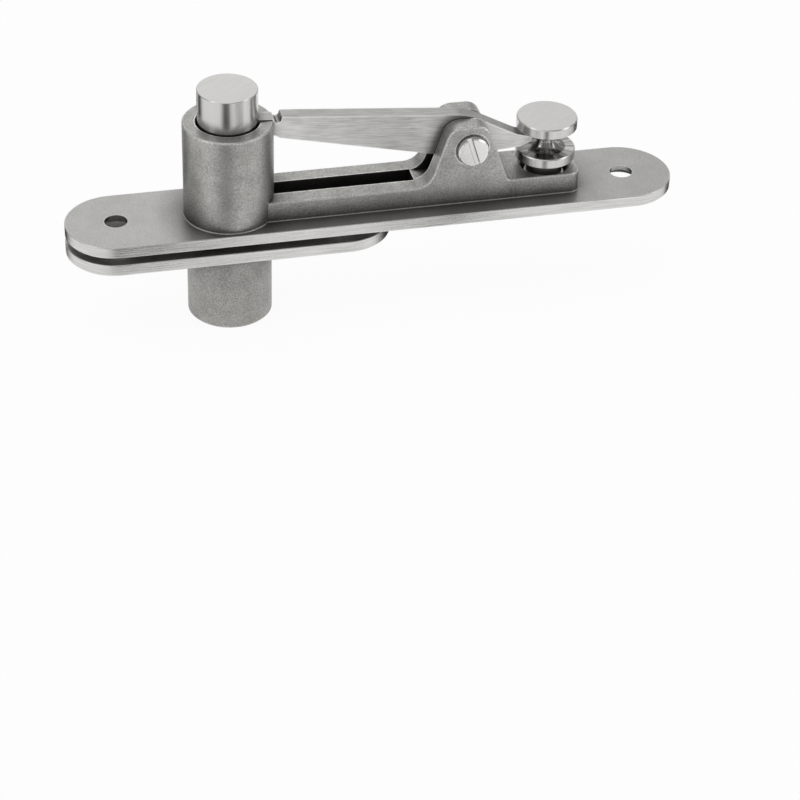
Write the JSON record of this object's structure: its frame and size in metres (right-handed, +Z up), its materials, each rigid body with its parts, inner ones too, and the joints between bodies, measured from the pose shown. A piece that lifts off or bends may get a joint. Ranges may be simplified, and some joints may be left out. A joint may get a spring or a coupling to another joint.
{
  "type": "retractable top door pivot",
  "caption": "Top pivot for a swing door: a pin in a cast housing is raised out of the door's bushed cup by a rocking lever and an adjusting screw.",
  "frame": {"origin": "on the pin's axis, at the underside of the frame plate", "axes": "+Z up along the pin into the door frame, +X along the plates towards the adjusting screw, +Y across the plates"},
  "size_m": [0.156, 0.025, 0.063],
  "materials": {
    "casting": "blasted casting with brushed plate edges",
    "turned_steel": "turned and polished",
    "bar_steel": "brushed lengthwise",
    "bright_screw": "bright",
    "bearing_bronze": "plain bearing"
  },
  "bodies": {
    "frame": {"frame_casting": "casting", "lever_screw": "bright_screw"},
    "pin": {"pivot_pin": "turned_steel"},
    "lever": {"lever": "bar_steel"},
    "screw": {"adjusting_screw": "turned_steel"},
    "door": {"door_casting": "casting", "door_bush": "bearing_bronze"}
  },
  "joints": [
    {"name": "door_swing", "type": "hinge", "parent": "frame", "child": "door", "pos_m": [0, 0, 0], "axis": [0, 0, 1], "continuous": true},
    {"name": "pin_lift", "type": "slide", "parent": "frame", "child": "pin", "axis": [0, 0, 1], "range_m": [-0.0189, 0.00662]},
    {"name": "lever_tilt", "type": "hinge", "parent": "frame", "child": "lever", "pos_m": [0.06035, 0, 0.01795], "axis": [0, 1, 0], "range_deg": [-20.05, 7.05]},
    {"name": "screw_lift", "type": "slide", "parent": "frame", "child": "screw", "axis": [0, 0, 1], "range_m": [-0.00206, 0.00586]}
  ],
  "couplings": [
    {"joint": "lever_tilt", "follows": "pin_lift", "rad_per_m": 18.469},
    {"joint": "screw_lift", "follows": "pin_lift", "ratio": -0.30899}
  ]
}
